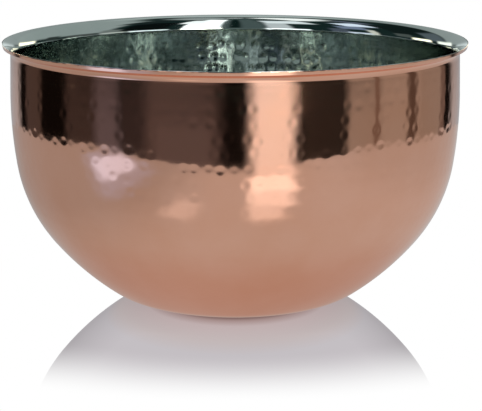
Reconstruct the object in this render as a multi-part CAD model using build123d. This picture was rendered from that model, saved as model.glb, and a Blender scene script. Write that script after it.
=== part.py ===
from build123d import *

import math
import os

# Hammered copper bowl lined with stainless steel. Millimetres, +Z up.
# The origin is the centre of the flat foot, on the surface that the bowl stands on.
# Both shells are bodies of revolution about Z, and the liner nests inside the copper.

# Driving dimensions of the copper's outer face
WALL_RADIUS = 120.0  # the widest ring of the body
FOOT_RADIUS = 36.0  # edge of the flat that the bowl rests on
LIP_TOP = 142.4  # height of the finished bowl

# Sheet thicknesses in the wall
COPPER_SHEET = 0.9
STEEL_SHEET = 0.9
NEST_GAP = 0.05  # air between the two shells everywhere but under the foot

# The outer face rises from the foot in tangent arcs. Each has a radius and ends at a slope
# above the horizontal, in degrees.
FOOT_BEND = (36.0, 16.0)
KNUCKLE = (28.0, 35.8)
LOWER_SIDE = (152.5, 50.8)
BELLY = (83.0, 81.9)
UPPER_SIDE = (231.5, 91.9)

# The lip. The outer face turns outward through the neck and stops just short of level.
# The inner faces leave the collar lower down and run out to the lip in one arc each, so
# the copper thickens towards its hammered edge while the steel thins out over it.
NECK_RADIUS = 4.25
LIP_SLOPE = 7.0
LIP_COPPER = 1.85  # length of the copper's edge, and of the steel's above it
LIP_STEEL = 0.25
EDGE_LEAN = 12.0  # how far the edge leans out from upright, in degrees
FLARE_LEAD = 2.5  # how far below the neck the inner faces start to turn outward


def arc_step(radius, start_slope, end_slope):
    """How far an arc runs outward and rises while its slope turns from one angle to the other."""
    start = math.radians(start_slope)
    end = math.radians(end_slope)
    return radius * (math.sin(end) - math.sin(start)), radius * (math.cos(start) - math.cos(end))


def straight_lengths():
    """Lengths of the two straight stretches: the cone above the foot and the collar under the neck."""
    foot_run, foot_rise = arc_step(FOOT_BEND[0], 0.0, FOOT_BEND[1])
    knuckle_run, knuckle_rise = arc_step(KNUCKLE[0], FOOT_BEND[1], KNUCKLE[1])
    lower_run, lower_rise = arc_step(LOWER_SIDE[0], KNUCKLE[1], LOWER_SIDE[1])
    belly_run, belly_rise = arc_step(BELLY[0], LOWER_SIDE[1], BELLY[1])
    widest_run, _ = arc_step(UPPER_SIDE[0], BELLY[1], 90.0)
    arcs_run = foot_run + knuckle_run + lower_run + belly_run + widest_run
    cone = (WALL_RADIUS - FOOT_RADIUS - arcs_run) / math.cos(math.radians(FOOT_BEND[1]))

    _, upper_rise = arc_step(UPPER_SIDE[0], BELLY[1], UPPER_SIDE[1])
    _, neck_rise = arc_step(-NECK_RADIUS, UPPER_SIDE[1], LIP_SLOPE)
    cone_rise = cone * math.sin(math.radians(FOOT_BEND[1]))
    body_rise = foot_rise + cone_rise + knuckle_rise + lower_rise + belly_rise + upper_rise
    edge_rise = (LIP_COPPER + NEST_GAP + LIP_STEEL) * math.cos(math.radians(EDGE_LEAN))
    collar_rise = LIP_TOP - edge_rise - neck_rise - body_rise
    return cone, collar_rise / math.sin(math.radians(UPPER_SIDE[1]))


def run_on(edges, length):
    """Adds a straight that carries on from the last edge."""
    start = edges[-1] @ 1
    edges.append(Line(start, start + (edges[-1] % 1) * length))


def bend_on(edges, radius, turn):
    """Adds a tangent arc: a positive turn bends up and inward, a negative one outward."""
    edges.append(JernArc(edges[-1] @ 1, edges[-1] % 1, radius, turn))


def wall_line(depth, short_of_neck):
    """Half section of one face, at this depth in the wall, from the axis to just short of the neck."""
    cone, collar = straight_lengths()
    edges = [Line((0.0, depth), (FOOT_RADIUS, depth))]
    bend_on(edges, FOOT_BEND[0] - depth, FOOT_BEND[1])
    run_on(edges, cone)
    slope = FOOT_BEND[1]
    for radius, end_slope in (KNUCKLE, LOWER_SIDE, BELLY, UPPER_SIDE):
        bend_on(edges, radius - depth, end_slope - slope)
        slope = end_slope
    run_on(edges, collar - short_of_neck)
    return edges


def outer_face():
    """The copper's outer face, out to the lower corner of the lip."""
    edges = wall_line(0.0, 0.0)
    bend_on(edges, NECK_RADIUS, LIP_SLOPE - UPPER_SIDE[1])
    return edges


def lip_point(height):
    """A point this far up the lip's edge from its lower corner."""
    lean = math.radians(EDGE_LEAN)
    return (outer_face()[-1] @ 1) + Vector(math.sin(lean), math.cos(lean)) * height


def inner_face(depth, lip_height):
    """A face this deep in the wall, which runs out to the lip's edge in one arc."""
    edges = wall_line(depth, FLARE_LEAD)
    edges.append(TangentArc(edges[-1] @ 1, lip_point(lip_height), tangent=edges[-1] % 1))
    return edges


def spun(outer, inner):
    """A solid of revolution between two faces that the lip's edge joins."""
    edge = Line(outer[-1] @ 1, inner[-1] @ 1)
    axis_line = Line(inner[0] @ 0, outer[0] @ 0)
    section = make_face([*outer, edge, *inner, axis_line])
    return revolve(Plane.XZ * section, Axis.Z)


def copper_shell():
    """Outer jacket, hammered after spinning; the hammer marks are finish and are left off here."""
    return spun(outer_face(), inner_face(COPPER_SHEET, LIP_COPPER))


def steel_liner():
    """Inner bowl. It rests on the copper's floor, and its thinned lip covers the copper's lip."""
    back_depth = COPPER_SHEET + NEST_GAP
    lip_height = LIP_COPPER + NEST_GAP
    back = inner_face(back_depth, lip_height)
    bright = inner_face(back_depth + STEEL_SHEET, lip_height + LIP_STEEL)
    seat = Pos(0, 0, COPPER_SHEET) * Cylinder(
        FOOT_RADIUS, NEST_GAP, align=(Align.CENTER, Align.CENTER, Align.MIN)
    )
    return spun(back, bright) + seat


def main():
    os.makedirs("parts", exist_ok=True)
    for build in (copper_shell, steel_liner):
        part = build()
        part.label = build.__name__
        export_step(part, f"parts/{build.__name__}.step")


main()
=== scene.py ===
import math

import bpy
import numpy as np
from bpy.props import FloatProperty, FloatVectorProperty, IntProperty, PointerProperty, StringProperty
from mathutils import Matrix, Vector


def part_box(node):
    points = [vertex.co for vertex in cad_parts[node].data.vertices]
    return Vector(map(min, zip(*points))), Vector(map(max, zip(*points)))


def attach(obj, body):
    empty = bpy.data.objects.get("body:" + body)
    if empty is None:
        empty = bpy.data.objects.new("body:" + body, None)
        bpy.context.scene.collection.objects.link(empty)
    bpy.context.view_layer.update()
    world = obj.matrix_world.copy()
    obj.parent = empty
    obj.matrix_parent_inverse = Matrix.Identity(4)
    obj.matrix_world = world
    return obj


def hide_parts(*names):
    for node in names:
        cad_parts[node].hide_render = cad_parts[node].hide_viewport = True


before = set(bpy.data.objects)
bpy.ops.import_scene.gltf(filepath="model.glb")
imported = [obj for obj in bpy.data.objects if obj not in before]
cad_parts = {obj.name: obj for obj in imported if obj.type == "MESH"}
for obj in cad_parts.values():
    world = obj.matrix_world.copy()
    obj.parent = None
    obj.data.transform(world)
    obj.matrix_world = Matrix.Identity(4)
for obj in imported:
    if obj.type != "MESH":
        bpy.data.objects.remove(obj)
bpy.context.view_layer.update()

bl_info = {
    "name": "Hammered copper bowl",
    "version": (1, 0, 0),
    "blender": (4, 5, 0),
    "location": "3D View > Sidebar > Bowl",
    "description": "A hammered copper bowl with a polished steel liner, and the studio it stands in",
    "category": "Object",
}

MM = 0.001
COPPER_NODE = "copper_shell"
STEEL_NODE = "steel_liner"

# The CAD box gives the lip's reach and height, and the rest of the section follows from them.
LIP_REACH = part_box(STEEL_NODE)[1].x
LIP_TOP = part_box(STEEL_NODE)[1].z
LIP_OVERHANG = 3.476 * MM  # how far the lip stands out past the widest ring of the wall
SHEET = 0.9 * MM
NEST_GAP = 0.05 * MM
LINER_DEPTH = SHEET + NEST_GAP  # from the copper's outer face to the liner's back
WALL_DEPTH = LINER_DEPTH + SHEET  # from the copper's outer face to the liner's bright face

# The section above the foot: arcs as (radius in metres, slope in degrees where the arc ends).
FOOT_BEND = (36.0 * MM, 16.0)
BODY_ARCS = ((28.0 * MM, 35.8), (152.5 * MM, 50.8), (83.0 * MM, 81.9), (231.5 * MM, 91.9))
NECK_RADIUS = 4.25 * MM
LIP_SLOPE = math.radians(7.0)
LIP_COPPER = 1.85 * MM  # the copper's share of the lip's edge, which the hammer has thickened
LIP_STEEL = 0.25 * MM
LIP_THICKNESS = LIP_COPPER + NEST_GAP + LIP_STEEL
EDGE_LEAN = math.radians(12.0)  # how far the edge leans out from upright
FLARE_LEAD = 2.5 * MM  # how far below the neck the inner faces start to turn outward
FOOT_RADIUS = 36.0 * MM
WALL_RADIUS = LIP_REACH - LIP_OVERHANG

# Steps along the section in the foot, the belly, the upper side and the neck, and points round
# a ring below each height.
FINE = (3.0 * MM, 1.3 * MM, 0.9 * MM, 0.62 * MM)
COARSE = (6.0 * MM, 6.0 * MM, 6.0 * MM, 0.8 * MM)
FACE_COLUMNS = ((38 * MM, 180), (79 * MM, 500), (134.6 * MM, 800))
LIP_COLUMNS = 300
COARSE_COLUMNS = 90
FOOT_RINGS = 5


# ---------------------------------------------------------------- settings


class BowlSizes(bpy.types.PropertyGroup):
    """Sizes that a user would change"""

    dent_pitch: FloatProperty(
        name="Mark spacing", description="Distance between neighbouring hammer marks along a row",
        default=6.6 * MM, unit="LENGTH", subtype="DISTANCE",
    )
    row_pitch: FloatProperty(
        name="Row spacing", description="Distance from one ring of hammer marks to the next",
        default=7.1 * MM, unit="LENGTH", subtype="DISTANCE",
    )
    dent_radius: FloatProperty(
        name="Mark radius", description="Radius of one hammer mark",
        default=3.0 * MM, unit="LENGTH", subtype="DISTANCE",
    )
    dent_depth: FloatProperty(
        name="Mark depth", description="Depth of one hammer mark at its middle",
        default=0.046 * MM, unit="LENGTH", subtype="DISTANCE",
    )
    plain_band: FloatProperty(
        name="Plain band", description="Height under the lip that the hammer leaves smooth",
        default=10.9 * MM, unit="LENGTH", subtype="DISTANCE",
    )
    inside_share: FloatProperty(
        name="Marks inside",
        description="How deep the marks are on the steel, as a share of their depth outside",
        default=2.8,
    )
    marks_end: FloatProperty(
        name="Lowest marks", description="Height below which the copper is left smooth",
        default=30.0 * MM, unit="LENGTH", subtype="DISTANCE",
    )
    seed: IntProperty(name="Seed", description="Start of the random draws for the hammer marks", default=7)


class BowlColours(bpy.types.PropertyGroup):
    """Colours that a user would change, as sRGB hex values"""

    copper: StringProperty(name="Copper", description="Polished copper, face on", default="F7C0A6")
    toned_copper: StringProperty(
        name="Toned copper", description="Copper where it has darkened a little in the air", default="F2B698"
    )
    steel: StringProperty(name="Steel", description="Polished stainless steel, face on", default="CDD3D0")
    toned_steel: StringProperty(
        name="Toned steel", description="Steel where the polish is a little duller", default="C2CBC8"
    )


class StageSizes(bpy.types.PropertyGroup):
    """The studio camera: where it stands, how it turns and its lens"""

    camera_place: FloatVectorProperty(
        name="Camera", description="Where the camera stands", subtype="XYZ", unit="LENGTH",
        default=(0.0, -0.7889, 0.2382),
    )
    camera_tilt: FloatProperty(
        name="Tilt", description="How far the camera looks down", default=math.radians(13.37),
        subtype="ANGLE",
    )
    camera_turn: FloatProperty(
        name="Turn", description="How far the camera turns to its right", default=math.radians(0.225),
        subtype="ANGLE",
    )
    lens: FloatProperty(name="Lens", description="Focal length in millimetres", default=110.18)


# ---------------------------------------------------------------- shared tools


def linear(hex_value):
    """An sRGB hex colour as linear RGBA."""
    shares = [int(hex_value[i:i + 2], 16) / 255 for i in (0, 2, 4)]
    flat = [s / 12.92 if s <= 0.04045 else ((s + 0.055) / 1.055) ** 2.4 for s in shares]
    return (*flat, 1.0)


def add_node(tree, kind, settings=None, **links):
    """Adds a node; settings go to its properties or its sockets, and links feed its sockets."""
    node = tree.nodes.new(kind)
    for name, value in (settings or {}).items():
        if isinstance(name, int) or name in node.inputs:
            node.inputs[name].default_value = value
        else:
            setattr(node, name, value)
    for name, source in links.items():
        tree.links.new(source, node.inputs[name.replace("_", " ")])
    return node


def new_material(name):
    material = bpy.data.materials.new(name)
    material.use_nodes = True
    material.node_tree.nodes.clear()
    return material, material.node_tree


def smooth(value, low, high):
    """A soft step from 0 at low to 1 at high."""
    share = np.clip((value - low) / (high - low), 0, 1)
    return share * share * (3 - 2 * share)


def new_piece(name, vertices, faces, material):
    mesh = bpy.data.meshes.new(name)
    mesh.from_pydata([tuple(v) for v in vertices], [], faces)
    mesh.materials.append(material)
    mesh.polygons.foreach_set("use_smooth", [True] * len(mesh.polygons))
    mesh.update()
    piece = bpy.data.objects.new(name, mesh)
    bpy.context.scene.collection.objects.link(piece)
    return piece


# ---------------------------------------------------------------- the bowl's section


class Section:
    """A half section drawn from the foot outwards, kept as (r, z, slope) points."""

    def __init__(self, r, z, slope):
        self.points = [(r, z, slope)]

    def line(self, length, spacing):
        r, z, slope = self.points[-1]
        steps = max(2, math.ceil(length / spacing))
        for step in range(1, steps + 1):
            along = length * step / steps
            self.points.append((r + along * math.cos(slope), z + along * math.sin(slope), slope))

    def arc(self, radius, to_slope, spacing):
        r, z, slope = self.points[-1]
        turn = to_slope - slope
        bend = math.copysign(radius, turn)
        steps = max(2, math.ceil(radius * abs(turn) / spacing))
        for step in range(1, steps + 1):
            now = slope + turn * step / steps
            out = r + bend * (math.sin(now) - math.sin(slope))
            up = z + bend * (math.cos(slope) - math.cos(now))
            self.points.append((out, up, now))

    def arc_to(self, end, spacing):
        """An arc that leaves along the section's own slope and ends at a point."""
        r, z, slope = self.points[-1]
        chord = math.hypot(end[0] - r, end[1] - z)
        lean = math.atan2(end[1] - z, end[0] - r) - slope
        self.arc(chord / (2 * abs(math.sin(lean))), slope + 2 * lean, spacing)


def arc_rise(radius, from_slope, to_slope):
    return radius * (math.cos(from_slope) - math.cos(to_slope))


def straight_lengths():
    """Lengths of the cone above the foot and of the collar below the neck."""
    cone_slope, collar_slope = math.radians(FOOT_BEND[1]), math.radians(BODY_ARCS[-1][1])
    rise = arc_rise(FOOT_BEND[0], 0.0, cone_slope)
    widest = FOOT_RADIUS + FOOT_BEND[0] * math.sin(cone_slope)
    slope = cone_slope
    for radius, end in BODY_ARCS:
        # The widest ring is where the wall stands upright.
        widest += radius * (math.sin(min(math.radians(end), math.pi / 2)) - math.sin(slope))
        rise += arc_rise(radius, slope, math.radians(end))
        slope = math.radians(end)
    cone = (WALL_RADIUS - widest) / math.cos(cone_slope)
    neck_rise = arc_rise(NECK_RADIUS, LIP_SLOPE, collar_slope)
    edge_rise = LIP_THICKNESS * math.cos(EDGE_LEAN)
    collar = (LIP_TOP - edge_rise - neck_rise - rise - cone * math.sin(cone_slope)) / math.sin(collar_slope)
    return cone, collar


def wall_section(short_of_neck, spacings):
    """The copper's outer face from the foot's edge up the collar to just short of the neck."""
    cone, collar = straight_lengths()
    foot, belly, upper, _ = spacings
    section = Section(FOOT_RADIUS, 0.0, 0.0)
    section.arc(FOOT_BEND[0], math.radians(FOOT_BEND[1]), foot)
    section.line(cone, foot)
    for (radius, end), spacing in zip(BODY_ARCS, (foot, foot, belly, upper)):
        section.arc(radius, math.radians(end), spacing)
    section.line(collar - short_of_neck, upper)
    return section


def outer_face(spacings):
    """The copper's outer face, out to the lower corner of the lip."""
    section = wall_section(0.0, spacings)
    section.arc(NECK_RADIUS, LIP_SLOPE, spacings[3])
    return section.points


def lip_point(height):
    """A point this far up the lip's edge from its lower corner."""
    r, z, _ = outer_face(COARSE)[-1]
    return r + height * math.sin(EDGE_LEAN), z + height * math.cos(EDGE_LEAN)


def inner_face(depth, lip_height, spacings):
    """A face this deep in the wall, which runs out to the lip's edge in one arc."""
    wall = [
        (r - depth * math.sin(slope), z + depth * math.cos(slope), slope)
        for r, z, slope in wall_section(FLARE_LEAD, spacings).points
    ]
    section = Section(*wall[-1])
    section.arc_to(lip_point(lip_height), spacings[3])
    return wall + section.points[1:]


def run_lengths(points):
    """Distance along the section at each of its points."""
    lengths = [0.0]
    for before, after in zip(points, points[1:]):
        lengths.append(lengths[-1] + math.hypot(after[0] - before[0], after[1] - before[1]))
    return lengths


# ---------------------------------------------------------------- hammer marks


TURN_SCATTER = 0.17  # how unevenly marks stand along a ring, as a share of their spacing
ROW_SCATTER = 0.09  # how far marks stray from their ring, as a share of the row spacing
DEPTH_SPREAD = (0.35, 1.65)  # lightest and heaviest blow, as shares of the mark depth
FIRST_BLOWS = 0.45  # the blows were lighter next to the lip: the first ring's share of the depth
FIRMER_BY = 0.3  # how much each ring below it gains, up to the full depth


class HammerMarks:
    """Rings of shallow round dents. Each ring has its own count and its own start."""

    def __init__(self, sizes, share=1.0):
        points = outer_face(FINE)
        self.heights = [z for _, z, _ in points]
        self.radii = [r for r, _, _ in points]
        self.lengths = run_lengths(points)
        self.radius = sizes.dent_radius
        draw = np.random.default_rng(sizes.seed)
        place = np.interp(LIP_TOP - sizes.plain_band, self.heights, self.lengths)
        self.rings = []
        while np.interp(place, self.lengths, self.heights) > sizes.marks_end:
            around = 2 * math.pi * np.interp(place, self.lengths, self.radii)
            count = round(around / sizes.dent_pitch)
            turns = (np.arange(count) + draw.uniform(0, 1)) * 2 * math.pi / count
            turns = turns + draw.normal(0, TURN_SCATTER, count) * 2 * math.pi / count
            places = place + draw.normal(0, ROW_SCATTER, count) * sizes.row_pitch
            firmness = min(1.0, FIRST_BLOWS + FIRMER_BY * len(self.rings))
            depths = sizes.dent_depth * share * firmness * draw.uniform(*DEPTH_SPREAD, count)
            self.rings.append((place, turns, places, depths))
            place -= sizes.row_pitch

    def sunk(self, height, angles):
        """How deep the metal is pushed in round one ring of the mesh, which is at this height outside."""
        length = np.interp(height, self.heights, self.lengths)
        radius = np.interp(height, self.heights, self.radii)
        total = np.zeros(len(angles))
        for place, turns, places, depths in self.rings:
            if abs(place - length) > 2 * self.radius:
                continue
            around = angles[:, None] - turns[None, :]
            around = (around + math.pi) % (2 * math.pi) - math.pi
            share = ((around * radius) ** 2 + (length - places[None, :]) ** 2) / self.radius ** 2
            total += (depths[None, :] * np.clip(1 - share, 0, None) ** 2).sum(axis=1)
        return total


# ---------------------------------------------------------------- lathe work


def bridge(low, high, low_count, high_count):
    """Triangles between two rings of vertices that need not have the same count."""
    faces = []
    i = j = 0
    while i < low_count or j < high_count:
        if j >= high_count or (i < low_count and (i + 1) / low_count <= (j + 1) / high_count):
            faces.append((low + i % low_count, low + (i + 1) % low_count, high + j % high_count))
            i += 1
        else:
            faces.append((low + i % low_count, high + (j + 1) % high_count, high + j % high_count))
            j += 1
    return faces


def turned_solid(rings):
    """Vertices and faces of a closed solid. Its rings (radii, heights, angles) start and end at the foot."""
    vertices, faces, starts = [], [], []
    for radii, heights, angles in rings:
        starts.append(len(vertices))
        vertices += zip(radii * np.cos(angles), radii * np.sin(angles), heights)
    counts = [len(angles) for _, _, angles in rings]
    for k in range(len(rings) - 1):
        if counts[k] == counts[k + 1]:
            low, high, count = starts[k], starts[k + 1], counts[k]
            for i in range(count):
                after = (i + 1) % count
                faces.append((low + i, low + after, high + after, high + i))
        else:
            faces += bridge(starts[k], starts[k + 1], counts[k], counts[k + 1])
    for k, turn in ((0, -1), (len(rings) - 1, 1)):
        centre = len(vertices)
        vertices.append((0.0, 0.0, float(rings[k][1][0])))
        ring = range(starts[k], starts[k] + counts[k])
        for i in range(counts[k]):
            edge = (ring[i], ring[(i + 1) % counts[k]])
            faces.append((centre, *(edge[::turn])))
    return vertices, faces


def plain_ring(r, z, count):
    angles = np.arange(count) * 2 * math.pi / count
    return np.full(count, r), np.full(count, z), angles


def columns_at(height):
    """How many points go round a ring at this height: more as the wall widens, fewer on the lip."""
    for top, count in FACE_COLUMNS:
        if height < top:
            return count
    return LIP_COLUMNS


def hammered_face(points, depth, marks):
    """Rings of a face this deep in the wall. The marks push the metal towards the inside of the bowl."""
    rings = []
    for r, z, slope in points:
        count = columns_at(z)
        angles = np.arange(count) * 2 * math.pi / count
        sunk = marks.sunk(z - depth * math.cos(slope), angles)
        rings.append((r - sunk * math.sin(slope), z + sunk * math.cos(slope), angles))
    return rings


def plain_face(points):
    """Rings of a face that nothing shows."""
    return [plain_ring(r, z, COARSE_COLUMNS) for r, z, _ in points]


def foot_rings(depth, count):
    """Rings of the flat foot, from near its centre outwards, without its edge."""
    return [plain_ring(FOOT_RADIUS * k / FOOT_RINGS, depth, count) for k in range(1, FOOT_RINGS)]


# ---------------------------------------------------------------- materials


def buffing_lines(tree, place, pitch):
    """Streaks that run round the bowl, as a buffing wheel leaves them on a turning piece.

    Real ones are some hundredths of a millimetre apart. They are drawn coarser, so that they show.
    """
    split = add_node(tree, "ShaderNodeSeparateXYZ", Vector=place)
    around = add_node(tree, "ShaderNodeMath", {"operation": "ARCTAN2"})
    tree.links.new(split.outputs["Y"], around.inputs[0])
    tree.links.new(split.outputs["X"], around.inputs[1])
    up = add_node(tree, "ShaderNodeMath", {"operation": "MULTIPLY", 1: 1 / pitch})
    tree.links.new(split.outputs["Z"], up.inputs[0])
    wrapped = add_node(tree, "ShaderNodeCombineXYZ", X=around.outputs[0], Z=up.outputs[0])
    return add_node(
        tree, "ShaderNodeTexNoise", {"Scale": 1.0, "Detail": 2.0}, Vector=wrapped.outputs["Vector"]
    )


def buffed_metal(name, clean, toned, haze, cloud_size, line_pitch, swell_size, swell_height):
    """Polished sheet. Haze and tone drift in clouds and fine lines, and the surface swells slightly."""
    material, tree = new_material(name)
    place = add_node(tree, "ShaderNodeTexCoord").outputs["Object"]
    cloud = add_node(tree, "ShaderNodeTexNoise", {"Scale": 1 / cloud_size, "Detail": 4.0}, Vector=place)
    lines = buffing_lines(tree, place, line_pitch)
    both = add_node(tree, "ShaderNodeMix", {"data_type": "FLOAT", "Factor": 0.35})
    tree.links.new(cloud.outputs["Fac"], both.inputs["A"])
    tree.links.new(lines.outputs["Fac"], both.inputs["B"])
    roughness = add_node(
        tree, "ShaderNodeMapRange",
        {"From Min": 0.32, "From Max": 0.68, "To Min": haze[0], "To Max": haze[1]},
        Value=both.outputs["Result"],
    )
    tone = add_node(
        tree, "ShaderNodeMapRange", {"From Min": 0.35, "From Max": 0.75, "To Min": 0.0, "To Max": 1.0},
        Value=cloud.outputs["Fac"],
    )
    colour = add_node(
        tree, "ShaderNodeMixRGB", {"Color1": linear(clean), "Color2": linear(toned)},
        Fac=tone.outputs["Result"],
    )
    waves = add_node(tree, "ShaderNodeTexNoise", {"Scale": 1 / swell_size, "Detail": 1.0}, Vector=place)
    swell = add_node(
        tree, "ShaderNodeBump", {"Strength": 1.0, "Distance": swell_height}, Height=waves.outputs["Fac"]
    )
    shader = add_node(
        tree, "ShaderNodeBsdfPrincipled", {"Metallic": 1.0}, Base_Color=colour.outputs["Color"],
        Roughness=roughness.outputs["Result"], Normal=swell.outputs["Normal"],
    )
    add_node(tree, "ShaderNodeOutputMaterial", Surface=shader.outputs["BSDF"])
    return material


def polished_copper(colours):
    """Spun copper, hammered and then buffed. A warm pink mirror with the haze of a buffing wheel."""
    return buffed_metal(
        "hammered_buffed_copper", colours.copper, colours.toned_copper, (0.045, 0.10),
        cloud_size=38 * MM, line_pitch=0.5 * MM, swell_size=5 * MM, swell_height=0.007 * MM,
    )


def polished_steel(colours):
    """Stainless steel, spun and mirror polished. A cool grey-green mirror, clearer than the copper."""
    return buffed_metal(
        "mirror_polished_stainless", colours.steel, colours.toned_steel, (0.03, 0.075),
        cloud_size=26 * MM, line_pitch=0.4 * MM, swell_size=4 * MM, swell_height=0.006 * MM,
    )


# ---------------------------------------------------------------- the two shells


def lip_edge():
    """Rings up the copper's edge, closest together by its two corners."""
    heights = (0.12 * MM, 0.4 * MM, LIP_COPPER / 2, LIP_COPPER - 0.4 * MM, LIP_COPPER - 0.12 * MM)
    return [plain_ring(*lip_point(height), LIP_COLUMNS) for height in heights]


class MakeCopperShell(bpy.types.Operator):
    """Raise the hammered copper shell"""

    bl_idname = "bowl.copper_shell"
    bl_label = "Copper shell"

    def execute(self, context):
        marks = HammerMarks(context.scene.bowl_sizes)
        rings = foot_rings(0.0, COARSE_COLUMNS) + hammered_face(outer_face(FINE), 0.0, marks)
        rings += lip_edge()
        rings += plain_face(inner_face(SHEET, LIP_COPPER, COARSE))[::-1]
        rings += foot_rings(SHEET, COARSE_COLUMNS)[::-1]
        material = polished_copper(context.scene.bowl_colours)
        piece = new_piece("hammered_copper_shell", *turned_solid(rings), material)
        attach(piece, "root")
        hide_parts(COPPER_NODE)
        return {"FINISHED"}


class MakeSteelLiner(bpy.types.Operator):
    """Press the steel liner, whose bright face shows the hammer marks from behind"""

    bl_idname = "bowl.steel_liner"
    bl_label = "Steel liner"

    def execute(self, context):
        sizes = context.scene.bowl_sizes
        marks = HammerMarks(sizes, sizes.inside_share)
        bright = inner_face(WALL_DEPTH, LIP_THICKNESS, FINE)
        rings = foot_rings(LINER_DEPTH, COARSE_COLUMNS)
        rings += plain_face(inner_face(LINER_DEPTH, LIP_COPPER + NEST_GAP, COARSE))
        rings += hammered_face(bright, WALL_DEPTH, marks)[::-1]
        rings += foot_rings(WALL_DEPTH, COARSE_COLUMNS)[::-1]
        material = polished_steel(context.scene.bowl_colours)
        piece = new_piece("polished_steel_liner", *turned_solid(rings), material)
        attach(piece, "root")
        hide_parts(STEEL_NODE)
        return {"FINISHED"}


# ---------------------------------------------------------------- the stage


def light_painted(name, vertices, faces, rgb):
    """A stage surface that glows with the light painted at each vertex and that only the metal sees."""
    material, tree = new_material(name + "_light")
    paint = add_node(tree, "ShaderNodeAttribute", {"attribute_name": "light"})
    lamp = add_node(tree, "ShaderNodeEmission", Color=paint.outputs["Color"])
    add_node(tree, "ShaderNodeOutputMaterial", Surface=lamp.outputs["Emission"])
    piece = new_piece(name, vertices, faces, material)
    light = piece.data.attributes.new("light", "FLOAT_COLOR", "POINT")
    light.data.foreach_set("color", np.column_stack([rgb, np.ones(len(rgb))]).astype(np.float32).ravel())
    piece.visible_camera = False


def for_camera_only(piece):
    """Keeps a stage piece out of what the metal mirrors, and out of shadows."""
    piece.visible_diffuse = False
    piece.visible_glossy = False
    piece.visible_shadow = False


# What stands round the bowl, as (heading, half width, lowest, highest, soft edge, brightness, tint).
# Headings run from -Y towards +X and heights are above the horizon, in degrees. Later entries
# cover earlier ones.
SURROUNDINGS = (
    # the dim room
    (0, 180, -90, 90, 2, 0.03, "A8F4EE"),
    # its pale far end and right-hand side, behind the bowl, and the ceiling
    (180, 36, -2, 9, 5, 0.10, "F0FFFF"),
    (180, 9, -2, 16, 6, 0.8, "F4FFFF"),
    (172, 34, 9, 60, 6, 0.42, "EEFBFA"),
    (122, 44, 15, 66, 8, 0.46, "ECFAF8"),
    (180, 30, 56, 80, 8, 0.6, "F4FFFF"),
    (60, 65, 74, 90, 6, 0.5, "F0FAFA"),
    (-8, 36, 70, 90, 8, 0.11, "C8F0EC"),
    (-95, 33, 68, 86, 6, 1.5, "FFFFFF"),
    # shelves on the right
    (72, 11, 0, 26, 5, 0.27, "ECF8F4"),
    (97, 11, 3, 15, 5, 0.12, "E8F4F0"),
    (121, 6, 3, 19, 5, 0.06, "D8F0EC"),
    (55, 15, 12, 56, 6, 0.008, "C0F0F0"),
    (76, 13, 50, 72, 8, 0.03, "C0F0F0"),
    # furniture and hangings on the left
    (-128, 24, 24, 52, 6, 0.02, "B0E8E4"),
    (-141, 11, 12, 32, 5, 0.17, "DCF0FF"),
    (-110, 7, 12, 24, 4, 0.13, "E8F8F4"),
    (-86, 3, -1, 29, 2.5, 0.9, "FFFCF0"),
    (-90, 13, 43, 58, 4, 1.45, "E4ECFF"),
    (-76, 10, 28, 43, 5, 0.45, "C8D8FF"),
    (-63, 6, 2, 28, 4, 0.16, "D0E0FF"),
    (-116, 9, 55, 66, 5, 0.25, "D8E0FF"),
    # window on the left
    (-26, 7.5, 2, 48, 4, 0.78, "F4FAFF"),
    (-39, 18, 48, 67, 6, 1.25, "F4FAFF"),
    # lamps and bright tops of things just above the horizon, which the bowl's inside gathers
    (51, 12, 2, 10, 3, 2.2, "F4FAFF"),
    (74, 8, 2, 11, 4, 0.8, "F4F8F0"),
    (150, 11, 4, 13, 4, 2.8, "FFF4D8"),
    (-30, 14, 2, 11, 3, 2.6, "F8FAFF"),
    (-76, 8, 4, 11, 3, 1.4, "E4ECFF"),
    (-125, 9, 4, 13, 4, 3.2, "FFF4D8"),
    (-152, 10, 5, 13, 4, 1.7, "F8FAF0"),
    # a dark figure in front, then the tall lit doorway
    (-5, 13, 3, 75, 6, 0.15, "D0F0F0"),
    (0, 3.5, 12, 75, 4, 0.014, "89FFF3"),
    (19.7, 11.3, 1, 75, 1.6, 2.0, "FBFDFF"),
    (30, 8, 46, 68, 4, 1.6, "FBFDFF"),
    (19.7, 11.3, 1, 11, 1.6, 10.5, "FFFCF0"),
    # everything below the horizon, seen in the bowl's side
    (0, 180, -90, -1, 3, 0.004, "FFF0E8"),
    (180, 43, -90, -1, 10, 0.45, "F0F8FF"),
    (-119, 8, -90, 4, 6, 0.07, "F8ECE8"),
    (-76, 14, -90, -1, 8, 0.05, "F4E8E8"),
    (-64, 7, -90, -1, 8, 0.15, "DCE0F8"),
    (-47, 9, -90, -1, 4, 0.038, "F0E8F0"),
    (-25, 17, -90, -1, 12, 0.112, "F6EEF4"),
    (17.9, 10.1, -90, 1, 9, 1.08, "F8FCFF"),
    (43, 10, -90, -1, 6, 0.028, "F4ECE0"),
    (66, 11, -90, -1, 6, 0.29, "FFFCF4"),
    (90, 15, -90, -1, 4, 0.335, "FFFEF8"),
    (72, 1.5, -90, -1, 1.5, 0.18, "F0D8C8"),
    (96, 3.4, -90, -1, 3, 0.10, "F0D8C8"),
    (114, 12, -90, -1, 4, 0.28, "FFFCF4"),
    (125, 2.6, -90, -1, 2.5, 0.17, "F0E0D8"),
)


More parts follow.
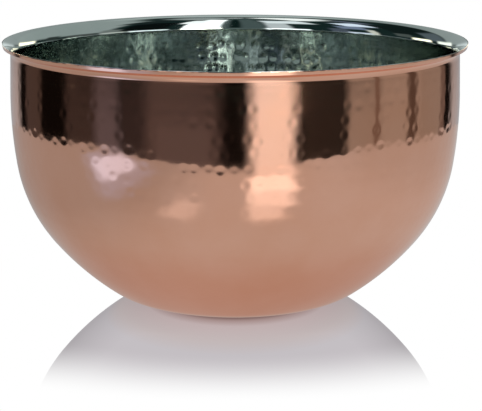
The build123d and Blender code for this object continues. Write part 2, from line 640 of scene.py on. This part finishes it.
def room_light(heading, height):
    """Brightness and tint of the room in each direction, as linear RGB."""
    light = np.zeros((len(heading), 3))
    for middle, half, low, high, soft, bright, tint in SURROUNDINGS:
        away = np.abs((heading - middle + 180) % 360 - 180)
        share = smooth(half + soft / 2 - away, 0, soft) if half < 180 else np.ones(len(heading))
        share = share * smooth(height, low - soft / 2, low + soft / 2) if low > -90 else share
        share = share * (1 - smooth(height, high - soft / 2, high + soft / 2)) if high < 90 else share
        colour = bright * np.array(linear(tint)[:3])
        light = light * (1 - share[:, None]) + colour * share[:, None]
    return light


ROOM_RADIUS = 2.5
ROOM_POLE = 88  # the dome stops this many degrees above and below the horizon


def make_room(columns=360, rows=120):
    """A dome that only the metal sees, painted with the room's light."""
    headings = np.arange(columns) * 360 / columns
    heights = -ROOM_POLE + 2 * ROOM_POLE * np.arange(rows) / (rows - 1)
    grid_heading = np.tile(headings, rows)
    grid_height = np.repeat(heights, columns)
    turn, rise = np.radians(grid_heading), np.radians(grid_height)
    vertices = np.stack(
        [np.sin(turn) * np.cos(rise), -np.cos(turn) * np.cos(rise), np.sin(rise)], axis=1
    ) * ROOM_RADIUS
    faces = []
    for row in range(rows - 1):
        for column in range(columns):
            first, after = row * columns + column, row * columns + (column + 1) % columns
            faces.append((first, after, after + columns, first + columns))
    light_painted("room", vertices, faces, room_light(grid_heading, grid_height))


# Painted glints and patches of painted light on the table, as (x, y, half width, half depth, soft edge,
# brightness, tint), in metres.
PAINTED_TABLE_LIGHTS = (
    (0.110, -0.370, 0.056, 0.040, 0.03, 1.0, "FFFFFF"),
    (0.084, -0.312, 0.054, 0.040, 0.03, 1.35, "FFFFFF"),
    (0.067, -0.262, 0.040, 0.030, 0.03, 1.10, "FFFFFF"),
    (0.046, -0.224, 0.026, 0.028, 0.03, 0.92, "FFFFFF"),
    (-0.320, -0.232, 0.112, 0.085, 0.06, 0.64, "D4E2FF"),
    (-0.322, -0.232, 0.052, 0.066, 0.035, 1.40, "C5DBFF"),
    (-0.084, -0.222, 0.024, 0.035, 0.03, 0.67, "FFFFFF"),
)
TABLE_SIDE = 0.52  # half the table's width
TABLE_FRONT = 0.395  # its reach in front of the bowl
TABLE_BACK = 0.55  # its reach behind the bowl
TABLE_ROUNDING = 2.5  # 2 makes the table's outline an ellipse, and more squares it up
TABLE_DROP = 0.6 * MM  # how far it lies under the foot, so that the two don't touch


def table_light(x, y):
    """Painted light and shade of the table top, as linear RGB."""
    # Painted shade: the table is darker towards its left and its right.
    base = 0.53 - 0.15 * smooth(-x, 0.02, 0.22) - 0.06 * smooth(x, 0.18, 0.40)
    # Painted shade round and under the bowl, warmed by a painted reflection of the copper.
    near = 1 - smooth(np.hypot(x, y), 0.07, 0.15)
    warm = 1 - np.array(linear("F6E2DA")[:3])
    light = base[:, None] * (1 - near[:, None] * warm)
    # Painted glints and patches of light, brighter than the table round them.
    for middle_x, middle_y, half_x, half_y, soft, bright, tint in PAINTED_TABLE_LIGHTS:
        share = smooth(half_x + soft / 2 - np.abs(x - middle_x), 0, soft)
        share = share * smooth(half_y + soft / 2 - np.abs(y - middle_y), 0, soft)
        light = light * (1 - share[:, None]) + bright * np.array(linear(tint)[:3]) * share[:, None]
    return light


def make_table(columns=240, rings=50):
    """The table top, a rounded rectangle that glows with painted light and shade."""
    heading = np.arange(columns) * 2 * math.pi / columns
    reach_y = np.where(np.cos(heading) > 0, TABLE_FRONT, TABLE_BACK)
    square = (np.abs(np.sin(heading)) / TABLE_SIDE) ** TABLE_ROUNDING
    square = square + (np.abs(np.cos(heading)) / reach_y) ** TABLE_ROUNDING
    edge = square ** (-1 / TABLE_ROUNDING)
    share = np.arange(1, rings + 1) / rings
    x = (share[:, None] * edge * np.sin(heading)).ravel()
    y = (-share[:, None] * edge * np.cos(heading)).ravel()
    faces = []
    for ring in range(rings - 1):
        for column in range(columns):
            first, after = ring * columns + column, ring * columns + (column + 1) % columns
            faces.append((first, after, after + columns, first + columns))
    vertices = np.stack([x, y, np.full(len(x), -TABLE_DROP)], axis=1)
    light_painted("table", vertices, faces, table_light(x, y))


FLOOR_HALF = 6.0
FLOOR_SQUEEZE = 0.8  # the clear patch is wider than deep
FLOOR_CLEAR = 0.103  # it is clear out to here, and white from the next distance on
FLOOR_WHITE = 0.168


def make_floor():
    """Plain white floor, clear close to the bowl, where the painted reflection shows through it."""
    material, tree = new_material("white_floor")
    place = add_node(tree, "ShaderNodeTexCoord")
    squeeze = (FLOOR_SQUEEZE, 1.0, 0.0)
    squeezed = add_node(tree, "ShaderNodeVectorMath", {"operation": "MULTIPLY", 1: squeeze})
    tree.links.new(place.outputs["Object"], squeezed.inputs[0])
    away = add_node(tree, "ShaderNodeVectorMath", {"operation": "LENGTH"})
    tree.links.new(squeezed.outputs["Vector"], away.inputs[0])
    cover = add_node(
        tree, "ShaderNodeMapRange",
        {"interpolation_type": "SMOOTHSTEP", "From Min": FLOOR_CLEAR, "From Max": FLOOR_WHITE},
        Value=away.outputs["Value"],
    )
    clear = add_node(tree, "ShaderNodeBsdfTransparent")
    paper = add_node(tree, "ShaderNodeEmission", {"Color": (1.0, 1.0, 1.0, 1.0), "Strength": 1.0})
    mix = add_node(tree, "ShaderNodeMixShader", Fac=cover.outputs["Result"])
    tree.links.new(clear.outputs["BSDF"], mix.inputs[1])
    tree.links.new(paper.outputs["Emission"], mix.inputs[2])
    add_node(tree, "ShaderNodeOutputMaterial", Surface=mix.outputs["Shader"])
    corners = [(x * FLOOR_HALF, y * FLOOR_HALF, 0.0) for x, y in ((-1, -1), (1, -1), (1, 1), (-1, 1))]
    floor = new_piece("floor", corners, [(0, 1, 2, 3)], material)
    for_camera_only(floor)


# Colours of the painted reflection of the bowl in the floor, from the foot up the bowl's side, each with its
# place in the fade.
PAINTED_REFLECTION = ((0.02, "6E4E46"), (0.10, "A78E8B"), (0.22, "C0AFAF"), (0.56, "C3B8B8"), (0.92, "C4BFC3"))
REFLECTION_DEPTH = 12 * MM


def make_mirror_image():
    """The bowl's painted reflection in the floor: an upside-down copy of the copper shell that glows in
    paler colours.
    """
    material, tree = new_material("painted_floor_reflection")
    place = add_node(tree, "ShaderNodeTexCoord")
    split = add_node(tree, "ShaderNodeSeparateXYZ", Vector=place.outputs["Object"])
    depth = add_node(
        tree, "ShaderNodeMapRange", {"From Min": 0.0, "From Max": REFLECTION_DEPTH}, Value=split.outputs["Z"]
    )
    ramp = add_node(tree, "ShaderNodeValToRGB", Fac=depth.outputs["Result"])
    for place_on_ramp, _ in PAINTED_REFLECTION[2:]:
        ramp.color_ramp.elements.new(place_on_ramp)
    for element, (place_on_ramp, colour) in zip(ramp.color_ramp.elements, PAINTED_REFLECTION):
        element.position = place_on_ramp
        element.color = linear(colour)
    # Painted shade: the copy glows less where its surface turns side-on to the view.
    turned_away = add_node(tree, "ShaderNodeLayerWeight", {"Blend": 0.5})
    strength = add_node(
        tree, "ShaderNodeMapRange", {"From Min": 0.45, "From Max": 0.85, "To Min": 1.0, "To Max": 0.76},
        Value=turned_away.outputs["Facing"],
    )
    lamp = add_node(
        tree, "ShaderNodeEmission", Color=ramp.outputs["Color"], Strength=strength.outputs["Result"]
    )
    add_node(tree, "ShaderNodeOutputMaterial", Surface=lamp.outputs["Emission"])
    mesh = bpy.data.objects["hammered_copper_shell"].data.copy()
    mesh.materials.clear()
    mesh.materials.append(material)
    image = bpy.data.objects.new("painted_mirror_image", mesh)
    bpy.context.scene.collection.objects.link(image)
    image.scale = (1.0, 1.0, -1.0)
    for_camera_only(image)


def make_backdrop():
    """A plain white surround, and colours shown as they are."""
    world = bpy.data.worlds.new("white_surround")
    bpy.context.scene.world = world
    world.use_nodes = True
    world.node_tree.nodes["Background"].inputs["Color"].default_value = (1.0, 1.0, 1.0, 1.0)
    world.cycles_visibility.diffuse = False
    bpy.context.scene.view_settings.view_transform = "Standard"


class SetStage(bpy.types.Operator):
    """Set up the white studio, the room that the metal mirrors, and the camera"""

    bl_idname = "bowl.stage"
    bl_label = "Studio and camera"

    def execute(self, context):
        stage = context.scene.stage_sizes
        make_backdrop()
        make_floor()
        make_mirror_image()
        make_table()
        make_room()
        camera = bpy.data.objects.new("camera", bpy.data.cameras.new("camera"))
        context.scene.collection.objects.link(camera)
        camera.location = stage.camera_place
        camera.rotation_euler = (math.pi / 2 - stage.camera_tilt, 0.0, -stage.camera_turn)
        camera.data.lens = stage.lens
        camera.data.clip_start = 0.01
        context.scene.camera = camera
        context.scene.cycles.glossy_bounces = 10
        context.scene.cycles.max_bounces = 12
        return {"FINISHED"}


class BowlPanel(bpy.types.Panel):
    """Lists the bowl's pieces and sizes in the sidebar"""

    bl_idname = "VIEW3D_PT_bowl"
    bl_label = "Hammered copper bowl"
    bl_space_type = "VIEW_3D"
    bl_region_type = "UI"
    bl_category = "Bowl"

    def draw(self, context):
        for operator in (MakeCopperShell, MakeSteelLiner, SetStage):
            self.layout.operator(operator.bl_idname)
        for group in (context.scene.bowl_sizes, context.scene.bowl_colours, context.scene.stage_sizes):
            for name in group.__annotations__:
                self.layout.prop(group, name)


CLASSES = (BowlSizes, BowlColours, StageSizes, MakeCopperShell, MakeSteelLiner, SetStage, BowlPanel)


def register():
    for one in CLASSES:
        bpy.utils.register_class(one)
    bpy.types.Scene.bowl_sizes = PointerProperty(type=BowlSizes)
    bpy.types.Scene.bowl_colours = PointerProperty(type=BowlColours)
    bpy.types.Scene.stage_sizes = PointerProperty(type=StageSizes)


def unregister():
    del bpy.types.Scene.stage_sizes
    del bpy.types.Scene.bowl_colours
    del bpy.types.Scene.bowl_sizes
    for one in reversed(CLASSES):
        bpy.utils.unregister_class(one)


def main():
    register()
    bpy.ops.bowl.copper_shell()
    bpy.ops.bowl.steel_liner()
    bpy.ops.bowl.stage()


if __name__ == "__main__":
    main()
